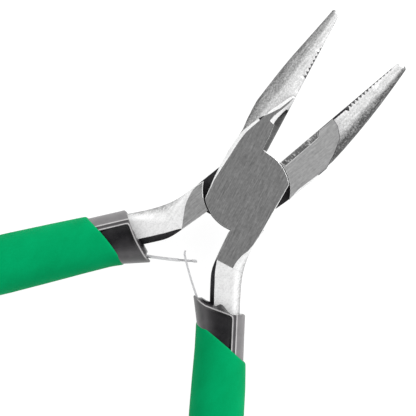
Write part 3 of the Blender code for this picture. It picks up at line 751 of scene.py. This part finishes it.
def arm(which):
    """The bar from the plate's end into the collar, painted darker along its outer edge as
    shade.
    """
    x = np.concatenate([[GROUND_END + 0.3], np.arange(GROUND_END, ARM_END, -0.4)])
    inner, outer = (points_at(line, x) for line in ARMS[which])
    height = np.interp(-x, [15.0, 26.0], [HEAD - 0.05, 3.3])
    across = inner[0, 1] - outer[0, 1]
    chamfer = np.interp(-x, [14.9, 16, 17.5, 19], [0.2, 0.5, 0.8, 1.0])
    chamfer = np.where(x < -14.9, chamfer * CHAMFER[which], 0.2)
    fall = np.interp(-x, [14.9, 19], [0.3, 1.5])
    near = (np.interp(-x, [15, 18], [2.32, 2.1]), np.interp(-x, [15, 18], [1.9, 2.0]), 1)
    far = (np.interp(-x, [15, 20], [across - 0.15, 2.1]), np.interp(-x, [15, 20], [1.5, 2.0]),
           1)
    rings = bar(inner, outer, height, (near, (chamfer, fall, 0.2), (chamfer, fall, 0.2), far))
    faces = capped(*rings.shape[:2])
    place = np.arange(len(faces) - 2) % rings.shape[1]
    steps = BEVEL_STEPS + 1
    inside = (place >= steps) & (place < 3 * steps - 1)
    from_edge = np.minimum(np.arange(4 * steps), np.arange(4 * steps)[::-1])
    return make(which + "_arm", rings, faces, which, [BLASTED, SCALE_AND_PAINTED_SHADE], inside,
                tone=painted_edge_shade(x[:, None], from_edge))


arms = {which: arm(which) for which in SIDES}

# %% [markdown]
# ## The handle's line
#
# Collar, sleeve and tang follow one line: straight behind the joint, then an arc that
# brings the handles back in line with the jaws. Along it s is the distance from the
# collar's root and v the distance sideways, towards the other handle.

# %% Handle coordinates
HANDLE_START = {"front": (-23.9, -7.2), "rear": (-23.7, -8.55)}
HANDLE_ANGLE = {"front": math.radians(25.0), "rear": math.radians(26.5)}
STRAIGHT_RUN, ARC_RUN, HANDLE_TURN = 29.0, 38.0, math.radians(34.5)
GRIP_WIDTH, GRIP_THICKNESS = 10.9, 12.0


def on_handle(which, s, v, z):
    """Points at a distance s along the handle's line, v beside it and z above it: past
    the straight run, the line turns evenly towards the other handle."""
    radius = ARC_RUN / HANDLE_TURN
    turn = np.maximum(s - STRAIGHT_RUN, 0) / radius
    along = np.minimum(s, STRAIGHT_RUN) + (radius - v) * np.sin(turn)
    aside = radius - (radius - v) * np.cos(turn)
    cosine, sine = math.cos(HANDLE_ANGLE[which]), math.sin(HANDLE_ANGLE[which])
    x, y = HANDLE_START[which]
    return np.stack(np.broadcast_arrays(x - along * cosine - aside * sine,
                                        y - along * sine + aside * cosine, z), axis=-1)


print("a handle ends", round(STRAIGHT_RUN + ARC_RUN), "mm along its line")

# %% [markdown]
# ## The collars
#
# A collar is a charcoal moulding that holds the arm and stops the fingers. It has a guard
# that points at the other handle, a duller band outside, two beads beside the band, a rim
# along its front edge and a glossy sunk panel behind the rim. It is a boxy oval carried
# from its front line to a line under the sleeve's lip. Where the beads, the rim and the
# panel are, the height changes with s, the place across, and with the distance from the
# front. A painted highlight lies on the beads' crests and painted shade in the groove. In
# front it closes with an end painted dark, painted shade for the mouth, and this end
# bulges out between arm and guard and over the arm, where shade falls.

# %% Collars
COLLAR_TOP = 5.6
COLLAR_SIDE = 1.0
BAND = {"front": 1.6, "rear": 1.85}
COLLAR_REACH = {"front": (4.65, 5.95), "rear": (4.95, 6.45)}
FRONT_LINE = {  # v and the distance along the handle, from the band's side to the guard
    "front": ([-5.2, -4.6, -4.2, -3.1, -2.1, 1.1, 3.5, 4.6, 5.3, 5.75, 5.95],
              [1.1, 0.35, 0.15, 0.25, 0.25, -0.75, -1.5, -2.2, -2.85, -3.15, -2.9]),
    "rear": ([-5.2, -4.9, -4.4, -2.4, -0.85, 1.2, 3.1, 4.9, 5.6, 6.2, 6.45],
             [0.3, -0.3, -0.65, -0.85, -1.0, -1.3, -1.75, -2.25, -2.55, -2.9, -2.7]),
}
# The dark end is painted shade; where it bulges over the arm it stands in for the shade there.
HUMP = {"front": 1.7, "rear": 0.3}  # how far the dark end bulges over the arm
RELIEF_DEPTH, RELIEF_STATIONS = 1.3, 14  # the front stretch, where beads and rim turn
REST_STATIONS = 10
SLEEVE_CUT = {"front": (5.7, -0.71, 0.011), "rear": (4.4, -0.46, 0.018)}


def cut_line(which, v):
    """Where the sleeve begins: a + b v + c v^2."""
    a, b, c = SLEEVE_CUT[which]
    return a + b * v + c * v * v


def ease(value, low, high):
    """0 below low, 1 above high, 3t^2 - 2t^3 between."""
    t = np.clip((value - low) / (high - low), 0, 1)
    return t * t * (3 - 2 * t)


def bump(value, middle, half):
    """A bell of height 1: exp(-((x - m) / h)^2)."""
    return np.exp(-((value - middle) / half) ** 2)


def corner_distance(a, b, soft):
    """The smaller of two distances, rounded where they meet:
    -r log(exp(-a / r) + exp(-b / r))."""
    return -soft * np.logaddexp(-a / soft, -b / soft)


def collar(which):
    """Stations from the front line back by points round the section; the section's lower
    half is its upper half turned over. f is the distance from the band. Along the front it
    starts at 0.55, so only the inner bead turns the corner and becomes the rim."""
    s = np.concatenate([-np.cos(np.linspace(0, 0.75, 8)), np.linspace(-0.71, -0.32, 28),
                        np.linspace(-0.28, 0.5, 12), np.sin(np.linspace(0.6, 1.5, 12)), [1]])
    rise = COLLAR_SIDE + (COLLAR_TOP - COLLAR_SIDE) * (1 - np.abs(s) ** 2.3) ** (1 / 2.3)
    near = np.linspace(0, RELIEF_DEPTH, RELIEF_STATIONS)
    share = np.linspace(0, 1, REST_STATIONS + 1)[1:]
    out, inside = COLLAR_REACH[which]
    reach_out = np.concatenate([np.full(len(near), out), out + 0.1 * share])
    reach_in = np.concatenate([inside - 0.2 * near / RELIEF_DEPTH, inside - 0.2 - 0.8 * share])
    v = np.where(s > 0, s * reach_in[:, None], s * reach_out[:, None])
    front = np.interp(v, *FRONT_LINE[which])
    length = np.maximum(cut_line(which, v) + 0.2 - front - RELIEF_DEPTH, 0.2)
    back = np.concatenate([near, np.full(len(share), RELIEF_DEPTH)])[:, None]
    back = back + np.concatenate([0 * near, share])[:, None] * length
    u = front + back

    f = corner_distance((s + 1) * out - BAND[which], 1.2 * back + 0.55, 0.25)
    fade = 1 - ease(s, 0.8, 1.0)
    crest = (bump(f, 0.05, 0.12) + bump(f, 0.85, 0.13)) * fade
    groove = bump(f, 0.45, 0.2) * fade
    sunk = ease(f, 0.95, 1.4) * (1 - ease(s, 0.1, 0.75))
    z = rise + 0.07 * crest - 0.1 * groove - 0.5 * sunk
    z = z - 0.2 * (1 - ease(back, 0, 0.1))
    tone = np.where(f < 0, 0.58, 0.04 + 0.4 * ease(s, 0.05, 0.95) + 0.34 * (f < 0.85) * fade)
    # A painted highlight on the beads' crests and painted shade in the groove between them.
    tone = np.clip(tone * (1 - crest) + 0.95 * crest - 0.12 * groove, 0, 1)

    # The front end bulges out over the arm: a dark piece standing in for shade on the arm.
    mouth = 0.85 * ease(v[0], 0.4, 2.2) * (1 - ease(v[0], 4.2, 5.4))
    mouth = np.maximum(mouth, HUMP[which] * bump(v[0], 0.2, 1.15))
    lead = [(u[0] + 0.05 - bulge * mouth, v[0] * width, z[0] * tall)
            for width, bulge, tall in ((0.97, 1.0, 0.15), (0.97, 0.95, 0.5), (0.975, 0.6, 0.8),
                                       (0.98, 0.0, 0.94))]
    tail = [(u[-1] + 0.5, v[-1] * 0.93, z[-1] * 0.93), (u[-1] + 1.3, v[-1] * 0.8, z[-1] * 0.8)]
    u, v, z = (np.vstack([[ring[n] for ring in lead], grid, [ring[n] for ring in tail]])
               for n, grid in enumerate((u, v, z)))
    # The first rings, at the front end, are painted dark: painted shade in the collar's mouth.
    tone = np.vstack([np.zeros((3, len(s))), tone[:1] * 0.4, tone, tone[-1:], tone[-1:]])
    u, v, tone = (np.concatenate([grid, grid[:, ::-1]], axis=1) for grid in (u, v, tone))
    points = on_handle(which, u, v, np.concatenate([z, -z[:, ::-1]], axis=1))
    stations, count = u.shape
    j = np.arange(len(s) - 1)
    cap = np.stack([j, j + 1, count - 2 - j, count - 1 - j], axis=1)
    faces = np.concatenate([ring_quads(stations, count), cap[:, ::-1],
                            cap + (stations - 1) * count])
    return make(which + "_collar_moulding", points, faces, which, [COLLAR_ABS], sharp=40,
                tone=tone)


collars = {which: collar(which) for which in SIDES}

# %% [markdown]
# ## The soft sleeves
#
# Each sleeve is a tube of foamed rubber, pulled over the tang and cut slanting at the
# collar, where its lip turns in. It is a rounded oval carried along the handle's line.
# The oval is a superellipse: the cosine and the sine of an angle, each to the power
# 2 / 2.2, so its sides are a little fuller than an ellipse. Past the lip the slanting
# stations straighten out step by step, and at the end they shrink to a dome.

# %% Sleeves
SWELL = {  # distance from the lip, and what the inner and the outer side gain there
    "front": ([0, 5, 12, 18, 45], [-0.3, -0.28, 0, 0.2, 0], [-0.2, 0, 0, 0, -0.03]),
    "rear": ([0, 2.5, 8, 16, 24, 36], [0.25, 0, 0.05, 0.2, 0.3, 0],
             [0.1, 0.2, 0.4, 0.65, 0.75, -0.05]),
}


def sleeve(which):
    """Stations along s by angles round the oval; the front stations lean with the cut."""
    angle = np.linspace(0, 2 * np.pi, 56, endpoint=False)[None]
    v, z = (size / 2 * np.sign(wave) * np.abs(wave) ** (2 / 2.2)
            for size, wave in ((GRIP_WIDTH, np.cos(angle)), (GRIP_THICKNESS, np.sin(angle))))
    lip_s = np.array([1.4, 0.8, 0.3, 0.05, 0.0, 0.1, 0.4, 1.0])
    lip_scale = np.array([0.8, 0.88, 0.925, 0.95, 0.97, 0.985, 0.997, 1.0])
    total = STRAIGHT_RUN + ARC_RUN - 0.05
    dome = 4.4  # the length of the rounded end
    body_share = np.linspace(0, 1, 64)[1:]
    turn = np.linspace(0, 1, 10)[1:] * np.radians(88)
    lean = np.concatenate([np.ones(len(lip_s)), 1 - body_share, 0 * turn])[:, None]
    scale = np.concatenate([lip_scale, np.ones_like(body_share), np.cos(turn) ** 0.8])[:, None]
    s = np.concatenate([lip_s, 1.0 + (total - dome - 1.0) * body_share,
                        total - dome * (1 - np.sin(turn))])[:, None]
    s = s + lean * cut_line(which, v)
    along, inner, outer = SWELL[which]
    from_lip = s - cut_line(which, v) * np.ones_like(scale)
    gain = np.where(v > 0, np.interp(from_lip, along, inner), np.interp(from_lip, along, outer))
    v = v * (1 + gain / (GRIP_WIDTH / 2))
    points = on_handle(which, s, v * scale, z * scale)
    return make(which + "_soft_sleeve", points, capped(*points.shape[:2]), which,
                [GREEN_FOAM], sharp=60)


sleeves = {which: sleeve(which) for which in SIDES}

# %% [markdown]
# ## The leaf springs
#
# The springs are strips 4.5 mm wide and 0.36 mm thick. One has a slot near its end, the
# other a narrow neck and a T that passes through the slot and turns. A strip is a sheet
# of cells on a grid, some of them left out, as a punch would leave them. Both faces are
# drawn for each cell that is there, and a wall wherever a cell has no neighbour. The
# grid's long lines follow a gentle bow.

# %% Punched strips
LEAF_HINGE = (-2.2, 5.0)  # along the handle and beside it
LEAF_ANGLE = {"front": math.radians(44.6), "rear": math.radians(46.6)}
LEAF_THICKNESS = 0.36
LEAF_LEAN = {"front": 0.0, "rear": 0.12}
LEAF_START, LEAF_END = 0.3, 10.3
NECK_START, SLOT_START, SLOT_END = 6.8, 7.1, 9.5  # the T begins where the slot ends


def punched(along, across, present, bow):
    """Points and faces of a strip: along and across are the grid's lines, present says
    which cells are there, bow gives the sideways place of each long station."""
    slope = np.gradient(bow, along)
    normal = np.stack([-slope, np.ones_like(slope)], axis=1)
    normal /= np.linalg.norm(normal, axis=1)[:, None]
    middle = np.stack([along, bow], axis=1)
    faces_of = [middle + normal * (sign * LEAF_THICKNESS / 2) for sign in (1, -1)]
    plan = np.stack(faces_of)[:, :, None]
    size = (2, len(along), len(across))
    points = np.concatenate([np.broadcast_to(plan, (*size, 2)),
                             np.broadcast_to(across, size)[..., None]], axis=-1)
    index = np.arange(np.prod(size)).reshape(size)
    a, b = index
    i, j = np.nonzero(present)
    quads = [np.stack([a[i, j], a[i + 1, j], a[i + 1, j + 1], a[i, j + 1]], axis=1),
             np.stack([b[i, j], b[i, j + 1], b[i + 1, j + 1], b[i + 1, j]], axis=1)]
    framed = np.pad(present, 1)
    for beside, ((p, q), (r, t)) in ((framed[:-2, 1:-1], ((0, 0), (0, 1))),
                                     (framed[2:, 1:-1], ((1, 1), (1, 0))),
                                     (framed[1:-1, :-2], ((1, 0), (0, 0))),
                                     (framed[1:-1, 2:], ((0, 1), (1, 1)))):
        i, j = np.nonzero(present & ~beside)
        quads.append(np.stack([a[i + p, j + q], a[i + r, j + t],
                               b[i + r, j + t], b[i + p, j + q]], axis=1))
    return points, np.concatenate(quads)


def leaf(which):
    """The slotted strip of the front half or the T-headed strip of the rear half."""
    across = np.array([-2.25, -1.8, -1.1, -0.8, 0.8, 1.1, 1.8, 2.25])
    along = np.unique(np.round(np.concatenate([
        np.linspace(LEAF_START, SLOT_START, 18), [NECK_START],
        np.linspace(SLOT_START, SLOT_END, 7), [9.9, LEAF_END]]), 3))
    centre = (along[1:] + along[:-1])[:, None] / 2
    beside = np.abs((across[1:] + across[:-1])[None] / 2)
    if which == "front":
        name = "slotted_leaf_strip"
        present = ~((centre > SLOT_START) & (centre < SLOT_END) & (beside < 1.1))
        bow = -0.012 * (along - LEAF_START) * (along - 9.0) * 0.6
        bow = bow - 0.35 * np.clip(along - 9.3, 0, 1) ** 2
    else:
        name = "tongue_leaf_strip"
        present = (centre < NECK_START) | (beside < 0.8) | ((centre > SLOT_END) & (beside < 1.8))
        bow = -0.006 * (along - LEAF_START) * (along - 9.0)
    points, faces = punched(along, across, present, bow)
    used, faces = np.unique(faces, return_inverse=True)
    flat = points.reshape(-1, 3)[used]
    cosine, sine = math.cos(LEAF_ANGLE[which]), math.sin(LEAF_ANGLE[which])
    hinge = on_handle(which, *LEAF_HINGE, 0.0)
    x = hinge[0] + flat[:, 0] * cosine - flat[:, 1] * sine
    y = hinge[1] + flat[:, 0] * sine + flat[:, 1] * cosine + flat[:, 2] * LEAF_LEAN[which]
    return make(name, np.stack([x, y, flat[:, 2]], axis=1), faces.reshape(-1, 4), which,
                [STRIP])


leaves = {which: leaf(which) for which in SIDES}

# %% [markdown]
# ## What rides on what
#
# Each half of the pliers is one body, and each moving leaf another. The new pieces
# replace the plain solids, which stay in the simulation for contact. The rivets and the
# springs' feet keep their solids and get the finish of turned steel and rolled strip.

# %% Bodies, replaced nodes and finishes
LEAF_BODY = {"front": "slotted_leaf", "rear": "tongue_leaf"}
for which in SIDES:
    body = which + "_side"
    for steel in [plates[which], *blocks[which], noses[which], arms[which]]:
        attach(steel, body)
        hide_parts(which + "_half")
    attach(collars[which], body)
    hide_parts(which + "_collar")
    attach(sleeves[which], body)
    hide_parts(which + "_sleeve")
    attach(leaves[which], LEAF_BODY[which])
    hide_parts(LEAF_BODY[which] + "_spring")

for node, finish in (("pivot_rivet", TURNED), ("front_spring_rivet", TURNED),
                     ("rear_spring_rivet", TURNED), ("front_spring_foot", STRIP),
                     ("rear_spring_foot", STRIP)):
    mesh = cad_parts[node].data
    mesh.materials.clear()
    mesh.materials.append(finish)

# %% [markdown]
# ## Floor and light
#
# The photograph is a catalogue picture: the tool on pure white, lit softly from all
# round, with the dark of the camera's own place overhead. That dark is what a ground face
# mirrors, and it makes it grey while the blasted steel beside it is nearly white. The
# world does this with its height alone. The floor is pale and plain, and it shows as
# white to the camera and in reflections but keeps a faint shadow.

# %% Floor
floor_mesh = bpy.data.meshes.new("floor")
floor_z = float(cad_box[0][2]) - 0.0001
corners = [(x, y, floor_z) for x, y in ((-2, -2), (2, -2), (2, 2), (-2, 2))]
floor_mesh.from_pydata(corners, [], [(0, 1, 2, 3)])
floor = bpy.data.objects.new("floor", floor_mesh)
bpy.context.scene.collection.objects.link(floor)
paper = bpy.data.materials.new("paper_matt_white")
paper.use_nodes = True
tree = paper.node_tree
tree.nodes.clear()
path = add(tree, "ShaderNodeLightPath").outputs
seen = maths(tree, "MAXIMUM", path["Is Camera Ray"], path["Is Glossy Ray"])
lit = add(tree, "ShaderNodeBsdfDiffuse", {"Color": linear("#f4f4f4")})
half = add(tree, "ShaderNodeBsdfDiffuse", {"Color": linear("#757575")})
glow = add(tree, "ShaderNodeEmission", {"Color": (1, 1, 1, 1), "Strength": 0.94})
both = add(tree, "ShaderNodeAddShader", {0: half.outputs[0], 1: glow.outputs[0]})
mixed = add(tree, "ShaderNodeMixShader", {0: seen, 1: lit.outputs[0], 2: both.outputs[0]})
add(tree, "ShaderNodeOutputMaterial", {"Surface": mixed.outputs[0]})
floor_mesh.materials.append(paper)
print("the floor is at z =", round(floor_z, 5))

# %% World and lamps
world = bpy.data.worlds.new("tent")
bpy.context.scene.world = world
world.use_nodes = True
tree = world.node_tree
tree.nodes.clear()
ray = add(tree, "ShaderNodeTexCoord").outputs["Generated"]
height = add(tree, "ShaderNodeSeparateXYZ", {"Vector": ray}).outputs["Z"]
tent = shades(tree, height, [(0.0, "#c8c8c8"), (0.12, "#c0c0c0"), (0.4, "#f4f4f4"),
                             (0.8, "#ffffff"), (0.92, "#909090"), (1.0, "#6e6e6e")])
light = add(tree, "ShaderNodeBackground", {"Color": tent, "Strength": 1.22})
white = add(tree, "ShaderNodeBackground", {"Color": (1, 1, 1, 1), "Strength": 1.0})
camera_ray = add(tree, "ShaderNodeLightPath").outputs["Is Camera Ray"]
shown = add(tree, "ShaderNodeMixShader", {0: camera_ray, 1: light.outputs[0],
                                          2: white.outputs[0]})
add(tree, "ShaderNodeOutputWorld", {"Surface": shown.outputs[0]})

softbox = bpy.data.lights.new("key_softbox", "AREA")
softbox.size = 0.2
softbox.energy = 1.1
key = bpy.data.objects.new("key_softbox", softbox)
key.location = (0.34, -0.04, 0.2)
key.rotation_euler = key.location.normalized().to_track_quat("Z", "Y").to_euler()
bpy.context.scene.collection.objects.link(key)
bpy.context.scene.view_settings.view_transform = "Standard"

# %% [markdown]
# ## The camera
#
# The picture is taken from straight above, 0.7 m away. A camera that isn't turned looks
# down with +X to its right. Turning it about Z one way turns the tool in the picture the
# other way, until the front half's jaw points up and to the right.

# %% Camera
PICTURE_TURN = math.radians(51.175)
DISTANCE = 0.7
SPAN = 0.0832  # metres across the picture, at the joint's face
MIDDLE = (-0.00755, 0.0038)
camera_data = bpy.data.cameras.new("camera")
camera_data.sensor_fit = "HORIZONTAL"
camera_data.angle = 2 * math.atan(SPAN / 2 / DISTANCE)
camera = bpy.data.objects.new("camera", camera_data)
camera.location = (*MIDDLE, DISTANCE)
camera.rotation_euler = (0, 0, -PICTURE_TURN)
bpy.context.scene.collection.objects.link(camera)
bpy.context.scene.camera = camera
print("camera at", [round(v, 5) for v in camera.location])
